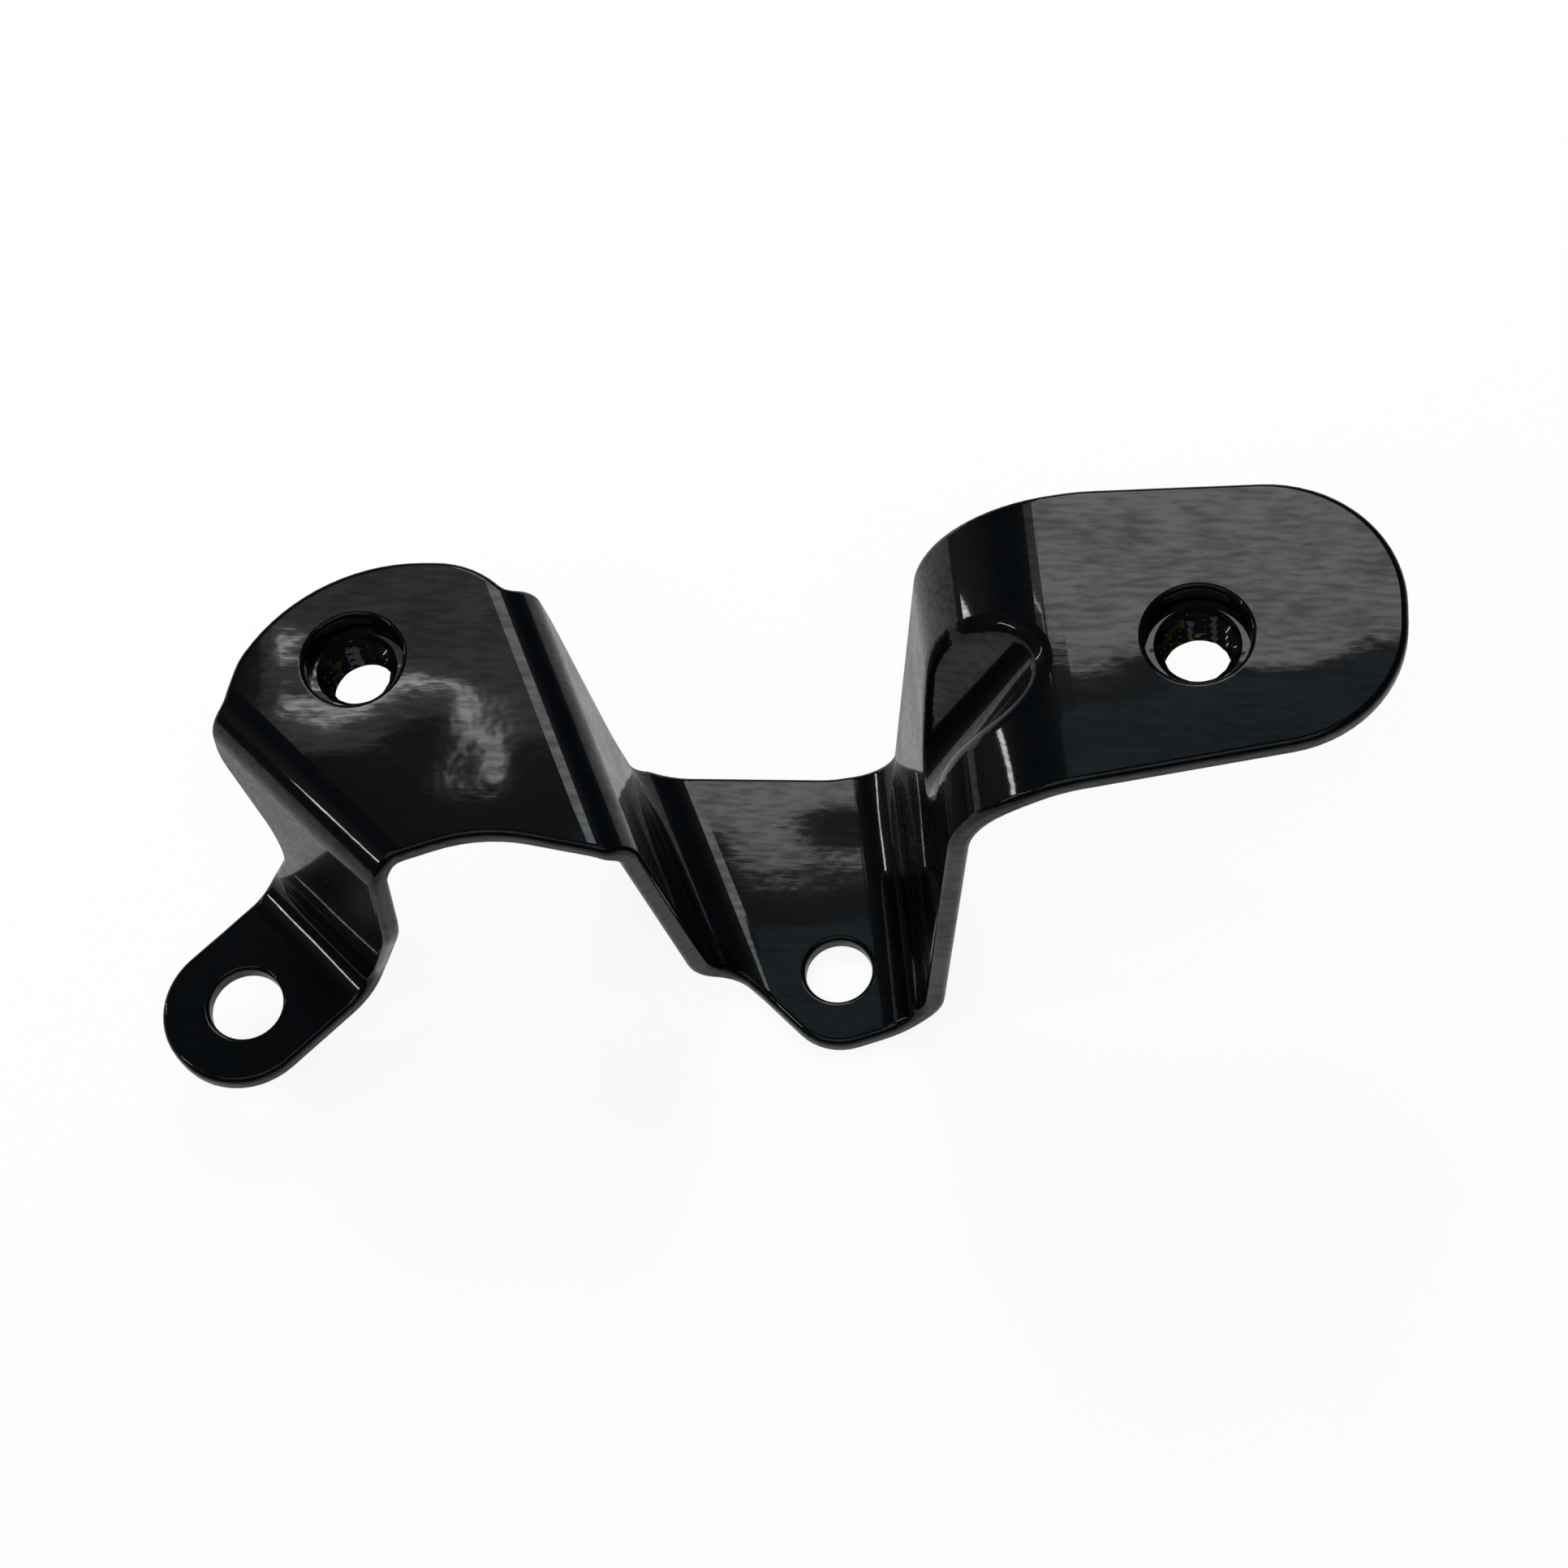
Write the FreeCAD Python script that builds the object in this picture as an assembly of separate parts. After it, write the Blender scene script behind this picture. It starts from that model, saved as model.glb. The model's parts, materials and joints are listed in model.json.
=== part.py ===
# Fairing bracket: one folded steel sheet and the two weld nuts under its raised plates.
# Millimetres. Z is up, the underside of the middle plate lies on Z = 0, X runs along the bracket.
import FreeCAD, Part
import math
import os

V = FreeCAD.Vector
up = V(0, 0, 1)

# Sheet
sheet = 1.7              # steel and paint together
edge_round = 0.55        # soft outer edges
hole_round = 0.4         # soft rims of the holes

# Levels of the plates above the middle plate
right_rise = 41.0
left_rise = 29.0
tab_rise = 6.0

# Right wall, from the middle plate up to the right plate
right_foot = V(10.75, 0, 0)     # where the two planes would meet
right_heading = 9.0             # direction of the climb, degrees from +X
right_lean = 7.9                # from the vertical
right_foot_bend = 4.0           # upper face of the sheet
right_head_bend = 11.0

# Left slope, from the middle plate up to the left plate
left_foot = V(-8.9, 0.2, 0)
left_heading = 204.0
left_lean = 6.6
left_foot_bend = 4.6
left_head_bend = 3.6
slope_front = 11.45      # sideways from the foot point
slope_back_low = -8.9
slope_back_high = -14.0

slope_foot_front = (1.4, 2.5)      # corners of the outlines at the slope: out from its foot, radius
slope_foot_back = (0.8, 1.5)
slope_head_front = (-5.5, 1.8)
slope_head_back = (-5.3, 1.1)
slope_waist_low = (5.0, 12.0)      # where its back edge turns: above the foot bend, radius
slope_waist_high = (2.6, 8.0)      # and below the head bend

# Tab wall, from the left tab up to the left plate
tab_foot = V(-36.85, -9.35, 0)
tab_heading = 47.0
tab_lean = 6.0
tab_foot_bend = 3.0
tab_head_bend = 3.6

# Left tab and its wall, measured outward and sideways from the foot of the wall
tab_half = 6.65
tab_hole_out = 8.7
tab_end_out = 15.8
flange_right = 10.4      # width kept at the upper bend
flange_left = 10.1
tab_end_flat = 0.5       # left between the two rounded corners of the free end
tab_head_right = (-4.6, 2.5)       # corners of the left plate's outline at the wall, as above
tab_head_left = (-4.3, 2.0)
neck_low = tab_rise + 2.9          # where the tab's width ends, clear of its bend
neck_right = [(neck_low, tab_half, 6.0), (19.5, flange_right, 10.0)]      # height, side, radius
neck_left = [(24.5, -flange_left, 3.0), (18.0, -2.7, 5.0), (neck_low, -tab_half, 6.0)]

# Holes
tab_hole = 6.2           # clearance for M6
middle_hole = 5.6        # clearance for M5
nut_hole = 8.0           # opening in the sheet over a weld nut
right_hole_at = V(36.0, 0.2, 0)
left_hole_at = V(-31.1, 4.3, 0)
middle_hole_at = V(5.7, -9.3, 0)

# Weld nuts, M6
nut_flats = 11.0
nut_height = 5.0
nut_bore = 5.0           # minor diameter of the thread
nut_entry = 6.6          # mouth of the countersink at each end
nut_corner = 0.8         # chamfer on the free end

# Stiffening dart across the right upper bend
dart_at = -3.6           # along the bend
dart_radius = 3.8
dart_plate_out = 4.3     # centre of the round head past the corner of the planes
dart_plate_up = 2.2      # the same above the plate
dart_wall_down = 17.5    # lower end below the plate
dart_wall_off = 3.7      # the same off the wall
dart_lip = 2.2           # rounding of its rim
dart_core = 1.0          # least radius left under the bend where the dart bulges

# Outlines of the plates seen from above, corner by corner: x, y, corner radius
right_outline = [
    (4.0, 8.6, 10.0),
    (26.5, 12.7, 20.0),
    (51.3, 13.8, 10.5),
    (51.6, -7.2, 10.5),
    (23.0, -13.1, 20.0),
    (13.3, -13.7, 8.0),
    (4.9, -16.7, 4.8),
    (-0.6, -11.6, 5.0),
]
left_front_outline = [(-19.4, -10.6, 14.0)]
left_back_outline = [(-40.6, 4.2, 6.0), (-35.75, 13.35, 15.5), (-22.6, 13.35, 8.0)]

middle_joint = V(2.5, 0, 0)      # the folds meet here, in the flat of the middle plate
left_joint = V(-22.5, 1.0, 0)    # and here in the flat of the left plate
bend_rest = 1.0                  # flat left beyond a bend before a wall is trimmed in its own plane
reach = 60.0                     # longer than any plate
loose = 1.0                      # rounding of a blank's corners that lie off the sheet


def spun(shape, at, heading):
    turned = shape.copy()
    turned.rotate(V(0, 0, 0), up, heading)
    turned.translate(at)
    return turned


def aside(heading):
    return V(math.cos(math.radians(heading)), math.sin(math.radians(heading)), 0)


def arc(centre, radius, start, end):
    points = []
    for turn in (start, (start + end) / 2, end):
        swing = math.radians(turn)
        points.append(centre + V(radius * math.cos(swing), 0, radius * math.sin(swing)))
    return Part.Arc(*points).toShape()


def fold_line(low, high, lean, foot_bend, head_bend, depth):
    # One face of a step in the sheet: low flat, bend, wall, bend, high flat
    turn = 90.0 - lean
    pull = math.tan(math.radians(turn / 2))
    run = (high - low) * math.tan(math.radians(lean))
    foot_centre = V(-foot_bend * pull, 0, low + foot_bend)
    head_centre = V(run + head_bend * pull, 0, high - head_bend)
    foot = arc(foot_centre, foot_bend + depth, -90.0, turn - 90.0)
    head = arc(head_centre, head_bend - depth, 90.0 + turn, 90.0)
    return [
        Part.makeLine(V(-reach, 0, low - depth), foot.firstVertex().Point),
        foot,
        Part.makeLine(foot.lastVertex().Point, head.firstVertex().Point),
        head,
        Part.makeLine(head.lastVertex().Point, V(reach, 0, high - depth)),
    ]


def step_sheet(low, high, lean, foot_bend, head_bend, depth):
    # The step as a layer of a given depth below its upper face
    edges = fold_line(low, high, lean, foot_bend, head_bend, 0.0)
    edges += fold_line(low, high, lean, foot_bend, head_bend, depth)
    edges.append(Part.makeLine(V(-reach, 0, low), V(-reach, 0, low - depth)))
    edges.append(Part.makeLine(V(reach, 0, high), V(reach, 0, high - depth)))
    face = Part.Face(Part.Wire(Part.__sortEdges__(edges)))
    face.translate(V(0, -reach, 0))
    return face.extrude(V(0, 2 * reach, 0))


def right_step(depth):
    return step_sheet(sheet, sheet + right_rise, right_lean, right_foot_bend, right_head_bend, depth)


def right_side(at, heading):
    # Everything to the right of an upright plane through a point
    half = Part.makeBox(4 * reach, 8 * reach, 4 * reach, V(0, -4 * reach, -2 * reach))
    return spun(half, at, heading)


def rounded_outline(corners):
    # Closed line through the corners, each rounded by its own radius
    edges = []
    ends = []
    count = len(corners)
    for index, (x, y, radius) in enumerate(corners):
        here = V(x, y, 0)
        before = V(*corners[index - 1][:2], 0) - here
        after = V(*corners[(index + 1) % count][:2], 0) - here
        before.normalize()
        after.normalize()
        half = before.getAngle(after) / 2
        middle = before + after
        middle.normalize()
        start = here + before * (radius / math.tan(half))
        end = here + after * (radius / math.tan(half))
        crown = here + middle * (radius / math.sin(half) - radius)
        edges.append(Part.Arc(start, crown, end).toShape())
        ends.append((start, end))
    for index in range(count):
        edges.append(Part.makeLine(ends[index - 1][1], ends[index][0]))
    return Part.Wire(Part.__sortEdges__(edges))


def wall_corner(foot, heading, corner, across):
    # Corner of a plate outline, measured from the foot point of a wall
    out, radius = corner
    ahead = aside(heading)
    point = foot - ahead * out + V(ahead.y, -ahead.x, 0) * across
    return (point.x, point.y, radius)


def slope_corner(corner, across):
    return wall_corner(left_foot, left_heading, corner, -across)


def tab_corner(corner, across):
    return wall_corner(tab_foot, tab_heading, corner, across)


def plate_blank(corners):
    return Part.Face(rounded_outline(corners)).extrude(V(0, 0, 2 * reach))


def low_blank():
    # Right plate, right wall and middle plate; it runs on past the foot of the left slope
    corners = right_outline + [
        slope_corner(slope_foot_front, slope_front),
        slope_corner((-reach, loose), slope_front),
        slope_corner((-reach, loose), slope_back_low),
        slope_corner(slope_foot_back, slope_back_low),
    ]
    return plate_blank(corners)


def high_blank():
    # Left plate; it runs on past the heads of the left slope and of the tab wall
    corners = [
        slope_corner((reach, loose), slope_back_high),
        slope_corner((reach, loose), slope_front),
        slope_corner(slope_head_front, slope_front),
    ]
    corners += left_front_outline
    corners += [
        tab_corner(tab_head_right, flange_right),
        tab_corner((reach, loose), flange_right),
        tab_corner((reach, loose), -flange_left),
        tab_corner(tab_head_left, -flange_left),
    ]
    corners += left_back_outline
    corners += [slope_corner(slope_head_back, slope_back_high)]
    return plate_blank(corners)


def wall_blank(corners, foot, heading):
    # A wall's outline in its own upright plane: across, height, radius
    face = Part.Face(rounded_outline(corners))
    face.rotate(V(0, 0, 0), V(1, 0, 0), 90)
    face.rotate(V(0, 0, 0), up, -90)
    face.translate(V(-reach, 0, 0))
    return spun(face.extrude(V(2 * reach, 0, 0)), foot, heading)


def slope_blank():
    low_turn = sheet + left_foot_bend + slope_waist_low[0]
    high_turn = sheet + left_rise - left_head_bend - slope_waist_high[0]
    corners = [
        (-slope_front, -reach, loose),
        (-slope_back_low, -reach, loose),
        (-slope_back_low, low_turn, slope_waist_low[1]),
        (-slope_back_high, high_turn, slope_waist_high[1]),
        (-slope_back_high, reach, loose),
        (-slope_front, reach, loose),
    ]
    return wall_blank(corners, left_foot, left_heading)


def neck_blank():
    corners = [(tab_half, -reach, loose)]
    corners += [(side, height, radius) for height, side, radius in neck_right]
    corners += [(flange_right, reach, loose), (-flange_left, reach, loose)]
    corners += [(side, height, radius) for height, side, radius in neck_left]
    corners += [(-tab_half, -reach, loose)]
    return wall_blank(corners, tab_foot, tab_heading)


def above(level):
    return Part.makeBox(8 * reach, 8 * reach, 2 * reach, V(-4 * reach, -4 * reach, level))


def capsule(start, end, radius):
    line = end - start
    rod = Part.makeCylinder(radius, line.Length, start, line)
    return rod.fuse([Part.makeSphere(radius, start), Part.makeSphere(radius, end)]).removeSplitter()


def sharp_edges(shape):
    # Edges where the two faces meet at an angle
    picked = []
    for edge in shape.Edges:
        middle = edge.valueAt((edge.FirstParameter + edge.LastParameter) / 2)
        faces = shape.ancestorsOfType(edge, Part.Face)
        normals = [face.normalAt(*face.Surface.parameter(middle)) for face in faces]
        if len(normals) == 2 and normals[0].getAngle(normals[1]) > 0.4:
            picked.append(edge)
    return picked


def darted(step):
    # Presses the dart into the right step: a groove on top, and the same sheet bulging out below
    wall = math.tan(math.radians(right_lean))
    corner = V(right_rise * wall, dart_at, sheet + right_rise)
    head = corner + V(dart_plate_out, 0, dart_plate_up)
    off = V(-math.cos(math.radians(right_lean)), 0, math.sin(math.radians(right_lean)))
    tail = corner - V(dart_wall_down * wall, 0, dart_wall_down) + off * dart_wall_off
    below = right_step(right_head_bend - dart_core)
    bulge = capsule(head, tail, dart_radius + sheet).common(below)
    step = step.fuse(bulge).removeSplitter().cut(capsule(head, tail, dart_radius))
    rim = []
    for edge in sharp_edges(step):
        if edge.BoundBox.YMax < reach / 2 and edge.BoundBox.YMin > -reach / 2:
            rim.append(edge)
    return step.makeFillet(dart_lip, rim)


def tab_end_waste():
    # What is cut away to round the two corners of the tab's free end
    tab_end_round = tab_half - tab_end_flat / 2
    waste = []
    for side in (1, -1):
        block = Part.makeBox(2 * tab_end_round, 2 * tab_end_round, 2 * reach)
        block = block.cut(Part.makeCylinder(tab_end_round, 2 * reach))
        if side < 0:
            block = block.mirror(V(0, 0, 0), V(0, 1, 0))
        block.translate(V(tab_end_out - tab_end_round, side * (tab_half - tab_end_round), 0))
        waste.append(spun(block, tab_foot, tab_heading + 180.0))
    return waste


def bracket_sheet():
    left = step_sheet(sheet, sheet + left_rise, left_lean, left_foot_bend, left_head_bend, sheet)
    tab = step_sheet(sheet + tab_rise, sheet + left_rise, tab_lean, tab_foot_bend, tab_head_bend, sheet)
    right = spun(darted(right_step(sheet)), right_foot, right_heading)
    left = spun(left, left_foot, left_heading)
    tab = spun(tab, tab_foot, tab_heading)
    past_middle = right_side(middle_joint, right_heading)
    past_left = right_side(left_joint, (left_heading - 180.0 + tab_heading) / 2)
    past_tab_end = right_side(tab_foot - aside(tab_heading) * tab_end_out, tab_heading)
    over_foot = above(sheet + left_foot_bend + bend_rest)
    over_slope = above(sheet + left_rise - left_head_bend - bend_rest)
    over_tongue = above(sheet + left_rise - tab_head_bend - bend_rest)
    low = low_blank()
    high = high_blank()
    slope = left.cut(past_middle)
    pieces = [
        right.common(past_middle).common(low),
        slope.cut(over_foot).common(low),
        slope.common(over_foot).cut(over_slope).common(slope_blank()),
        slope.common(over_slope).common(past_left).common(high),
        tab.common(over_tongue).cut(past_left).common(high),
        tab.cut(over_tongue).common(past_tab_end).common(neck_blank()).cut(tab_end_waste()),
    ]
    return pieces[0].fuse(pieces[1:]).removeSplitter()


def bracket():
    body = bracket_sheet()
    body = body.makeFillet(edge_round, sharp_edges(body))
    tab_hole_at = tab_foot - aside(tab_heading) * tab_hole_out
    holes = [
        (right_hole_at, nut_hole),
        (left_hole_at, nut_hole),
        (middle_hole_at, middle_hole),
        (tab_hole_at, tab_hole),
    ]
    for at, bore in holes:
        body = body.cut(Part.makeCylinder(bore / 2, 2 * reach, at))
    return body.makeFillet(hole_round, sharp_edges(body)).Solids[0]


def weld_nut(at, under):
    corner = nut_flats / math.sqrt(3)
    points = [aside(60.0 * side) * corner for side in range(7)]
    body = Part.Face(Part.makePolygon(points)).extrude(V(0, 0, nut_height))
    crown = Part.makeCone(corner - nut_corner, corner - nut_corner + 2 * nut_height, 2 * nut_height)
    body = body.common(crown)
    body = body.cut(Part.makeCylinder(nut_bore / 2, nut_height))
    depth = (nut_entry - nut_bore) / 2
    body = body.cut(Part.makeCone(nut_entry / 2, nut_bore / 2, depth))
    body = body.cut(Part.makeCone(nut_bore / 2, nut_entry / 2, depth, V(0, 0, nut_height - depth)))
    body.translate(V(at.x, at.y, under - nut_height))
    return body.Solids[0]


os.makedirs("parts", exist_ok=True)
sheet_part = bracket()
nuts = Part.makeCompound([weld_nut(right_hole_at, right_rise), weld_nut(left_hole_at, left_rise)])
sheet_part.exportStep("parts/bracket_plate.step")
nuts.exportStep("parts/weld_nuts.step")
print("bracket", sheet_part.isValid(), round(sheet_part.Volume, 1), sheet_part.BoundBox)
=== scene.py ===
import bpy
import json
import math
import numpy as np
from mathutils import Matrix, Quaternion, Vector


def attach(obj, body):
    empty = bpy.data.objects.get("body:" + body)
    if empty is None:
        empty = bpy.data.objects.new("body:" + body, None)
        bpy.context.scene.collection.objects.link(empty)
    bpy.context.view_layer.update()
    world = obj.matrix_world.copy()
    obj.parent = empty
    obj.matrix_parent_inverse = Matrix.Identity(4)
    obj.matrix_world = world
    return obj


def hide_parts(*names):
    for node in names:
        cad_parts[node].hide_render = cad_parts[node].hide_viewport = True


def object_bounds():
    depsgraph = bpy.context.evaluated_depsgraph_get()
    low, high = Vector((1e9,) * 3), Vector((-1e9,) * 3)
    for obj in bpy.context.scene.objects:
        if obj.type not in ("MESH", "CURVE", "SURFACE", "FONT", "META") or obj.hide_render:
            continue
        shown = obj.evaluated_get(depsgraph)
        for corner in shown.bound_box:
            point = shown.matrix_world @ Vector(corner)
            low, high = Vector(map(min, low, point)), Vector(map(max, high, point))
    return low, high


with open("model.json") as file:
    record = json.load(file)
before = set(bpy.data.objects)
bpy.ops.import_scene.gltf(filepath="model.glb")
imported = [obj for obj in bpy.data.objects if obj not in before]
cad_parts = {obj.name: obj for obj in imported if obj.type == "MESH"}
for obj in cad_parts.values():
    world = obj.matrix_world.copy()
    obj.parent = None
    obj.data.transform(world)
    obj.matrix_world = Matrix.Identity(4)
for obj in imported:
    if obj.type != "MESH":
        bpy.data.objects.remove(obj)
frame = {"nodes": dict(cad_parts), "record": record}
cadLow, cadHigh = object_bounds()      # the CAD model's box, before anything is added
scene = bpy.context.scene
mm = 0.001
print("frame loaded:", sorted(frame["nodes"]))


# camera at the photograph's viewing angle

viewpoint = {
    "aim": (0.0, 8.0, 1.7),        # mm, what the middle of the picture looks at
    "azimuth": 16.2,               # degrees to the right of straight ahead
    "elevation": 62.5,
    "roll": -14.0,
    "distance": 330.0,             # mm
    "focalPixels": 4752.0,         # in a picture of 1932 pixels
    "picture": 1932.0,
}


def placeCamera(v):
    az, el, roll = (math.radians(v[k]) for k in ("azimuth", "elevation", "roll"))
    back = Vector((math.sin(az) * math.cos(el), -math.cos(az) * math.cos(el), math.sin(el)))
    right = Vector((math.cos(az), math.sin(az), 0.0))
    up = back.cross(right)
    turnedRight = right * math.cos(roll) + up * math.sin(roll)
    turnedUp = up * math.cos(roll) - right * math.sin(roll)
    data = bpy.data.cameras.new("photoCamera")
    data.sensor_width = 36.0
    data.lens = data.sensor_width * v["focalPixels"] / v["picture"]
    data.clip_start = 0.01
    camera = bpy.data.objects.new("photoCamera", data)
    place = Matrix((turnedRight, turnedUp, back)).transposed().to_4x4()
    place.translation = (Vector(v["aim"]) + back * v["distance"]) * mm
    camera.matrix_world = place
    scene.collection.objects.link(camera)
    scene.camera = camera


placeCamera(viewpoint)
print("camera placed")


# floor, lamps and surroundings

studio = {
    "floorSize": 6.0,              # m
    "floorGap": 0.00005,           # m under the lowest point
    "floorColour": (0.40, 0.40, 0.40),
    "floorLift": 0.90,             # glow that takes the floor to white for the camera
    "floorGloss": 0.38,            # share of that glow that the paint reflects
    "surroundings": (0.022, 0.032, 0.042),
    "beyondFloor": (0.80, 0.80, 0.80),     # what the camera sees past the floor's edge
    "partMiddle": (0.0, 0.0, 0.02),        # m, where the side lamps aim
}

# place and size (width, height) in m, turn in degrees; a lamp faces straight down unless it is aimed
softboxes = {
    "overhead": dict(
        place=(-0.045, 0.6105, 0.60), size=(0.23, 0.63), turn=5.0, radiance=2.6, tint=(0.94, 0.98, 1.0)),
    "overheadFringe": dict(
        place=(0.02, 0.27, 0.60), size=(0.32, 0.04), turn=11.0, radiance=0.22, tint=(0.60, 0.86, 1.0)),
    "overheadLeft": dict(
        place=(-0.18, 0.61, 0.62), size=(0.085, 0.62), radiance=0.55, tint=(0.90, 0.96, 1.0)),
    "leftPanelEdge": dict(place=(-0.183, 0.303, 0.60), size=(0.055, 0.003), turn=-9.0, radiance=8.0),
    "leftPanelSide": dict(place=(-0.157, 0.289, 0.60), size=(0.003, 0.018), radiance=6.0),
    "leftStrip": dict(
        place=(-0.77, 0.30, 0.35), aim=studio["partMiddle"], size=(0.014, 0.50), radiance=11.0),
    "frontLeftStrip": dict(
        place=(-0.66, -0.18, 0.58), aim=studio["partMiddle"], size=(0.018, 0.45), radiance=14.0),
    "frontFill": dict(
        place=(0.0, -0.35, 0.90), aim=studio["partMiddle"], size=(0.90, 0.50), radiance=0.5,
        tint=(0.90, 0.97, 1.0)),
}


def mathNode(tree, operation, a, b):
    node = tree.nodes.new("ShaderNodeMath")
    node.operation = operation
    for socket, value in zip(node.inputs, (a, b)):
        if isinstance(value, (int, float)):
            socket.default_value = value
        else:
            tree.links.new(value, socket)
    return node.outputs[0]


def addFloor(s):
    half = s["floorSize"] / 2
    corners = [(-half, -half, 0), (half, -half, 0), (half, half, 0), (-half, half, 0)]
    mesh = bpy.data.meshes.new("floor")
    mesh.from_pydata(corners, [], [(0, 1, 2, 3)])
    floor = bpy.data.objects.new("floor", mesh)
    floor.location.z = cadLow[2] - s["floorGap"]
    scene.collection.objects.link(floor)
    mat = bpy.data.materials.new("paleFloor")
    mat.use_nodes = True
    tree = mat.node_tree
    nodes, links = tree.nodes, tree.links
    nodes.clear()
    out = nodes.new("ShaderNodeOutputMaterial")
    diffuse = nodes.new("ShaderNodeBsdfDiffuse")
    diffuse.inputs["Color"].default_value = (*s["floorColour"], 1.0)
    glow = nodes.new("ShaderNodeEmission")
    path = nodes.new("ShaderNodeLightPath").outputs
    reflected = mathNode(tree, "MULTIPLY", path["Is Glossy Ray"], s["floorGloss"])
    either = mathNode(tree, "MAXIMUM", path["Is Camera Ray"], reflected)
    seen = mathNode(tree, "MAXIMUM", either, path["Is Transmission Ray"])
    links.new(mathNode(tree, "MULTIPLY", seen, s["floorLift"]), glow.inputs["Strength"])
    both = nodes.new("ShaderNodeAddShader")
    links.new(diffuse.outputs[0], both.inputs[0])
    links.new(glow.outputs[0], both.inputs[1])
    links.new(both.outputs[0], out.inputs["Surface"])
    mesh.materials.append(mat)


def addSoftbox(name, place, size, radiance, aim=None, turn=0.0, tint=(1.0, 1.0, 1.0)):
    data = bpy.data.lights.new(name, "AREA")
    data.shape = "RECTANGLE"
    data.size, data.size_y = size
    data.energy = radiance * math.pi * size[0] * size[1]      # watts for that radiance
    data.color = tint
    lamp = bpy.data.objects.new(name, data)
    lamp.location = place
    target = Vector(aim or (place[0], place[1], 0.0))
    facing = (target - Vector(place)).to_track_quat("-Z", "Y")
    lamp.rotation_euler = (facing @ Quaternion((0.0, 0.0, 1.0), math.radians(turn))).to_euler()
    scene.collection.objects.link(lamp)


def addSurroundings(s):
    world = bpy.data.worlds.new("studio")
    world.use_nodes = True
    nodes, links = world.node_tree.nodes, world.node_tree.links
    nodes.clear()
    out = nodes.new("ShaderNodeOutputWorld")
    room = nodes.new("ShaderNodeBackground")
    room.inputs["Color"].default_value = (*s["surroundings"], 1.0)
    pale = nodes.new("ShaderNodeBackground")
    pale.inputs["Color"].default_value = (*s["beyondFloor"], 1.0)
    mix = nodes.new("ShaderNodeMixShader")
    path = nodes.new("ShaderNodeLightPath")
    links.new(path.outputs["Is Camera Ray"], mix.inputs[0])
    links.new(room.outputs[0], mix.inputs[1])
    links.new(pale.outputs[0], mix.inputs[2])
    links.new(mix.outputs[0], out.inputs["Surface"])
    scene.world = world


addFloor(studio)
for softboxName, softbox in softboxes.items():
    addSoftbox(softboxName, **softbox)
addSurroundings(studio)
scene.view_settings.view_transform = "Standard"
print("studio lit:", len(softboxes), "softboxes")


# shared paint effects

paintGrain = {                     # scale of each noise, in cycles a metre
    "peel": 700.0,
    "waves": 60.0,
    "streaks": 2300.0,
    "streakStretch": (0.22, 1.0, 1.0),
    "streakTurn": 18.0,            # degrees
    "streakShare": 0.6,            # of the mask; clouds make up the rest
    "clouds": 190.0,
    "film": 60.0,
}


def newGroup(name, inputs, outputs):
    tree = bpy.data.node_groups.new(name, "ShaderNodeTree")
    for label, kind, value in inputs:
        tree.interface.new_socket(label, in_out="INPUT", socket_type=kind).default_value = value
    for label, kind in outputs:
        tree.interface.new_socket(label, in_out="OUTPUT", socket_type=kind)
    return tree, tree.nodes.new("NodeGroupInput"), tree.nodes.new("NodeGroupOutput")


def noiseAt(tree, source, scale, detail, stretch=(1.0, 1.0, 1.0), turn=0.0):
    mapping = tree.nodes.new("ShaderNodeMapping")
    mapping.inputs["Scale"].default_value = stretch
    mapping.inputs["Rotation"].default_value = (0.0, 0.0, turn)
    tree.links.new(source, mapping.inputs["Vector"])
    noise = tree.nodes.new("ShaderNodeTexNoise")
    noise.inputs["Scale"].default_value = scale
    noise.inputs["Detail"].default_value = detail
    tree.links.new(mapping.outputs[0], noise.inputs["Vector"])
    return noise.outputs["Fac"]


def paintFlowGroup(g):
    # Height = peel of about a millimetre + slow waves of one or two centimetres + fine streaks
    tree, src, out = newGroup(
        "paintFlow",
        [("Vector", "NodeSocketVector", (0, 0, 0)), ("Peel", "NodeSocketFloat", 0.3),
         ("Waves", "NodeSocketFloat", 1.0), ("Streaks", "NodeSocketFloat", 0.1)],
        [("Height", "NodeSocketFloat"), ("Streak Mask", "NodeSocketFloat")],
    )
    vector = src.outputs["Vector"]
    peel = mathNode(tree, "MULTIPLY", noiseAt(tree, vector, g["peel"], 1.0), src.outputs["Peel"])
    waves = mathNode(tree, "MULTIPLY", noiseAt(tree, vector, g["waves"], 1.0), src.outputs["Waves"])
    streak = noiseAt(tree, vector, g["streaks"], 3.0, g["streakStretch"], math.radians(g["streakTurn"]))
    fine = mathNode(tree, "MULTIPLY", streak, src.outputs["Streaks"])
    height = mathNode(tree, "ADD", mathNode(tree, "ADD", peel, waves), fine)
    cloud = noiseAt(tree, vector, g["clouds"], 3.0)
    streakPart = mathNode(tree, "MULTIPLY", streak, g["streakShare"])
    cloudPart = mathNode(tree, "MULTIPLY", cloud, 1.0 - g["streakShare"])
    tree.links.new(height, out.inputs["Height"])
    tree.links.new(mathNode(tree, "ADD", streakPart, cloudPart), out.inputs["Streak Mask"])
    return tree


paintFlow = paintFlowGroup(paintGrain)


# gloss black paint on the folded sheet

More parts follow.
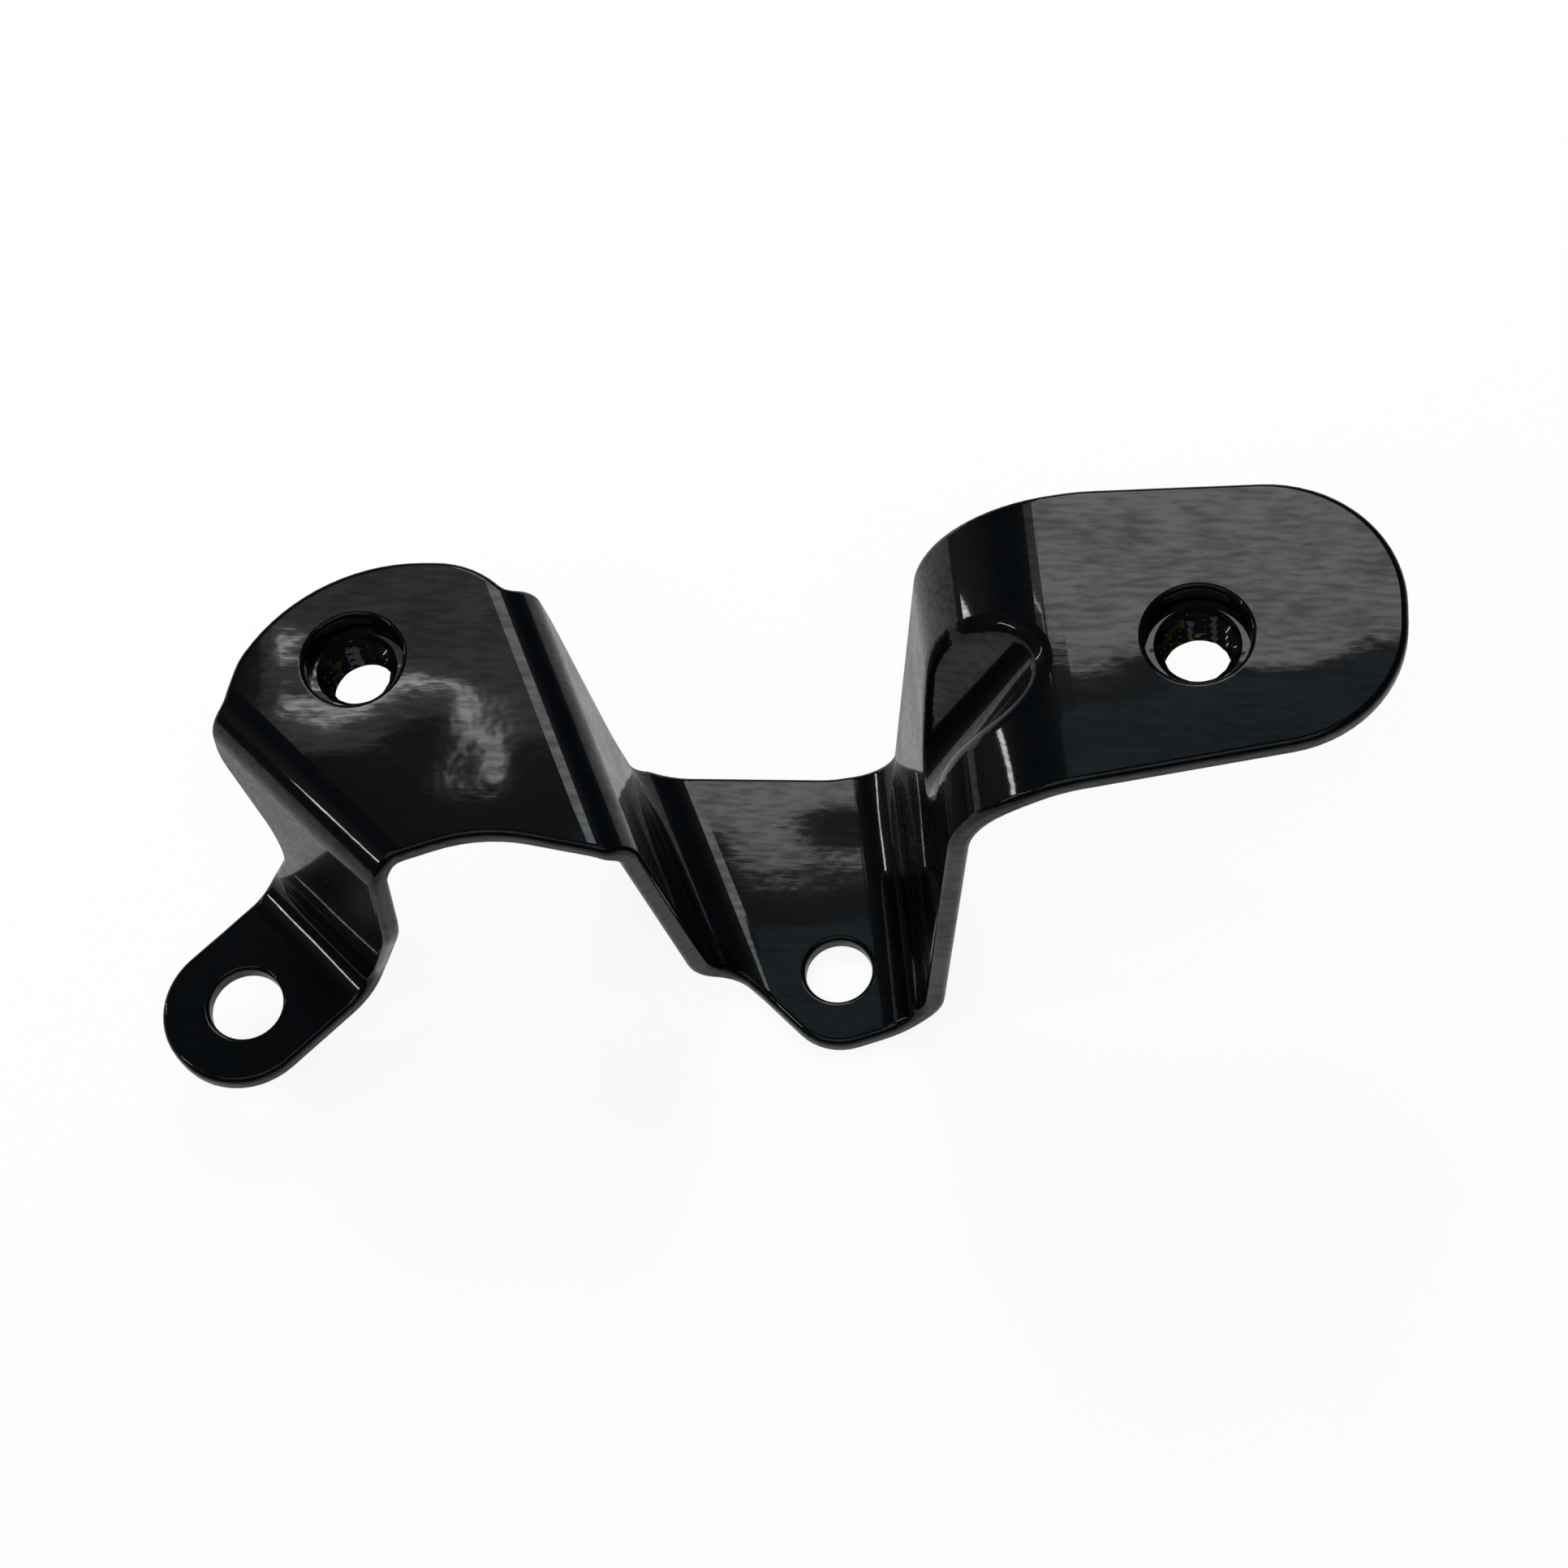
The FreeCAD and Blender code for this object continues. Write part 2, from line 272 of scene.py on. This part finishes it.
platePaint = {
    "colour": (0.0016, 0.0023, 0.0031),
    "paler": (0.0036, 0.0048, 0.0060),   # where the film is thin
    "roughLow": 0.26,
    "roughHigh": 0.42,
    "underGloss": 0.10,                  # the colour coat shines little under the clear coat
    "coatRoughness": 0.035,
    "peel": 0.03,
    "waves": 2.6,
    "streaks": 0.010,
    "bumpDistance": 0.00006,             # m
    "coatThin": 0.50,                    # clear coat in the streaks and clouds, where full is 1
    "coatFrom": 0.38,                    # streak mask at which the coat is thinnest
    "coatTo": 0.58,                      # and at which it is full
}


def paintMaterial(name, p):
    mat = bpy.data.materials.new(name)
    mat.use_nodes = True
    tree = mat.node_tree
    bsdf = tree.nodes["Principled BSDF"]
    coords = tree.nodes.new("ShaderNodeTexCoord").outputs["Object"]
    flow = tree.nodes.new("ShaderNodeGroup")
    flow.node_tree = paintFlow
    tree.links.new(coords, flow.inputs["Vector"])
    for label, key in (("Peel", "peel"), ("Waves", "waves"), ("Streaks", "streaks")):
        flow.inputs[label].default_value = p[key]
    bump = tree.nodes.new("ShaderNodeBump")
    bump.inputs["Distance"].default_value = p["bumpDistance"]
    tree.links.new(flow.outputs["Height"], bump.inputs["Height"])
    tree.links.new(bump.outputs["Normal"], bsdf.inputs["Normal"])
    tree.links.new(bump.outputs["Normal"], bsdf.inputs["Coat Normal"])
    film = tree.nodes.new("ShaderNodeMix")
    film.data_type = "RGBA"
    film.inputs["A"].default_value = (*p["colour"], 1.0)
    film.inputs["B"].default_value = (*p["paler"], 1.0)
    tree.links.new(noiseAt(tree, coords, paintGrain["film"], 3.0), film.inputs["Factor"])
    tree.links.new(film.outputs["Result"], bsdf.inputs["Base Color"])
    rough = tree.nodes.new("ShaderNodeMapRange")
    rough.inputs["To Min"].default_value = p["roughLow"]
    rough.inputs["To Max"].default_value = p["roughHigh"]
    tree.links.new(flow.outputs["Streak Mask"], rough.inputs["Value"])
    tree.links.new(rough.outputs[0], bsdf.inputs["Roughness"])
    bsdf.inputs["Specular IOR Level"].default_value = p["underGloss"]
    coat = tree.nodes.new("ShaderNodeMapRange")
    coat.inputs["From Min"].default_value = p["coatFrom"]
    coat.inputs["From Max"].default_value = p["coatTo"]
    coat.inputs["To Min"].default_value = p["coatThin"]
    coat.inputs["To Max"].default_value = 1.0
    tree.links.new(flow.outputs["Streak Mask"], coat.inputs["Value"])
    tree.links.new(coat.outputs[0], bsdf.inputs["Coat Weight"])
    bsdf.inputs["Coat Roughness"].default_value = p["coatRoughness"]
    return mat, bsdf


plate = frame["nodes"]["bracket_plate"]
plate.material_slots[0].material = paintMaterial("glossBlackPaint", platePaint)[0]
print("bracket plate painted")


# weld nuts with a real thread in place of the plain bores

nutShape = {
    "mounts": {"weldNutRight": "right_nut", "weldNutLeft": "left_nut"},
    "flats": 11.0,                 # mm, as are the sizes below
    "height": 5.0,
    "corner": 0.8,                 # chamfer on the free end
    "entry": 6.6,                  # mouth of the countersinks
    "minor": 5.0,
    "major": 6.0,
    "pitch": 1.0,
    "around": 120,                 # points round the nut
    "along": 81,                   # points along the thread
    "sharpAbove": 25.0,            # degrees between faces
}


def nutPlace(n, mountName):
    # mm, middle of the free end: half the nut's height under the middle of the record's bore
    mount = next(m for m in frame["record"]["mounts"] if m["name"] == mountName)
    x, y, z = (v / mm for v in mount["pos_m"])
    return x, y, z - n["height"] / 2


def gridMesh(name, points):
    # points[i, j] is a grid closed both ways; quads join neighbours
    rows, columns = points.shape[:2]
    here = np.arange(rows * columns).reshape(rows, columns)
    below = np.roll(here, -1, axis=0)
    faces = np.stack([here, below, np.roll(below, -1, axis=1), np.roll(here, -1, axis=1)], axis=-1)
    mesh = bpy.data.meshes.new(name)
    mesh.from_pydata(points.reshape(-1, 3).tolist(), [], faces.reshape(-1, 4).tolist())
    mesh.update()
    return mesh


def nutSurface(n, place):
    # Round the nut by angle a; along the profile: thread up the bore, seat face out, side down, free end in.
    # Thread: radius = minor/2 + depth * ridge(z/pitch - a/turn), where ridge goes 0, 1, 0 once a turn,
    # widened to the countersink cone near both ends.
    # Side: hexagon radius = flats/2 / cos(angle from the flat), cut by a cone at the free end.
    a = np.linspace(0.0, 2 * math.pi, n["around"], endpoint=False)[:, None]
    depth = (n["major"] - n["minor"]) / 2
    z = np.linspace(0.0, n["height"], n["along"])[None, :]
    turn = (z / n["pitch"] - a / (2 * math.pi)) % 1.0
    ridge = np.clip(1.5 - 3.0 * np.abs(turn - 0.5), 0.0, 1.0)
    fromEnd = np.minimum(z, n["height"] - z)
    cone = n["entry"] / 2 - fromEnd
    bore = np.maximum(n["minor"] / 2 + depth * ridge, cone)
    sixth = math.pi / 3
    fromFlat = (a % sixth) - sixth / 2
    hexagon = n["flats"] / 2 / np.cos(fromFlat)
    corner = n["flats"] / 2 / math.cos(sixth / 2) - n["corner"]
    cap = np.minimum(hexagon, corner)
    sideRadius = np.concatenate([hexagon, hexagon, cap], axis=1)
    chamferTop = hexagon - cap
    sideHeight = np.concatenate([np.full_like(a, n["height"]), chamferTop, np.zeros_like(a)], axis=1)
    radius = np.concatenate([bore, sideRadius], axis=1)
    height = np.concatenate([np.broadcast_to(z, bore.shape), sideHeight], axis=1)
    points = np.stack([radius * np.cos(a), radius * np.sin(a), height], axis=-1)
    return (points + np.array(place)) * mm


nutPaint = dict(platePaint, peel=0.20, waves=0.2, streaks=0.0)
nutThread = {
    "zinc": (0.20, 0.15, 0.035),         # yellow passivated steel
    "bareAbove": 0.61,                   # noise level over which the paint is missing
    "reach": 0.00315,                    # m, radius inside which the paint is thin
    "patchScale": 420.0,                 # cycles a metre
}


def nutMaterial(name, place):
    # Black paint outside; in the bore the zinc shows through in patches
    mat, bsdf = paintMaterial(name, nutPaint)
    tree = mat.node_tree
    coords = tree.nodes.new("ShaderNodeTexCoord").outputs["Object"]
    shift = tree.nodes.new("ShaderNodeVectorMath")
    shift.operation = "SUBTRACT"
    shift.inputs[1].default_value = [v * mm for v in place]
    tree.links.new(coords, shift.inputs[0])
    flat = tree.nodes.new("ShaderNodeVectorMath")
    flat.operation = "MULTIPLY"
    flat.inputs[1].default_value = (1.0, 1.0, 0.0)
    tree.links.new(shift.outputs[0], flat.inputs[0])
    radius = tree.nodes.new("ShaderNodeVectorMath")
    radius.operation = "LENGTH"
    tree.links.new(flat.outputs[0], radius.inputs[0])
    inside = mathNode(tree, "LESS_THAN", radius.outputs["Value"], nutThread["reach"])
    patches = noiseAt(tree, coords, nutThread["patchScale"], 2.0)
    patch = mathNode(tree, "GREATER_THAN", patches, nutThread["bareAbove"])
    bare = mathNode(tree, "MULTIPLY", inside, patch)
    base = bsdf.inputs["Base Color"].links[0].from_socket
    colour = tree.nodes.new("ShaderNodeMix")
    colour.data_type = "RGBA"
    tree.links.new(bare, colour.inputs["Factor"])
    tree.links.new(base, colour.inputs["A"])
    colour.inputs["B"].default_value = (*nutThread["zinc"], 1.0)
    tree.links.new(colour.outputs["Result"], bsdf.inputs["Base Color"])
    tree.links.new(bare, bsdf.inputs["Metallic"])
    tree.links.new(mathNode(tree, "SUBTRACT", 1.0, bare), bsdf.inputs["Coat Weight"])
    return mat


def addNut(name, place):
    mesh = gridMesh(name, nutSurface(nutShape, place))
    mesh.polygons.foreach_set("use_smooth", np.ones(len(mesh.polygons), bool))
    mesh.set_sharp_from_angle(angle=math.radians(nutShape["sharpAbove"]))
    mesh.materials.append(nutMaterial(name + "Paint", place))
    nut = bpy.data.objects.new(name, mesh)
    scene.collection.objects.link(nut)
    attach(nut, "root")
    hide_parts("weld_nuts")


for nutName, mountName in nutShape["mounts"].items():
    addNut(nutName, nutPlace(nutShape, mountName))
print("weld nuts threaded:", len(nutShape["mounts"]))


# final update of the view layer

bpy.context.view_layer.update()
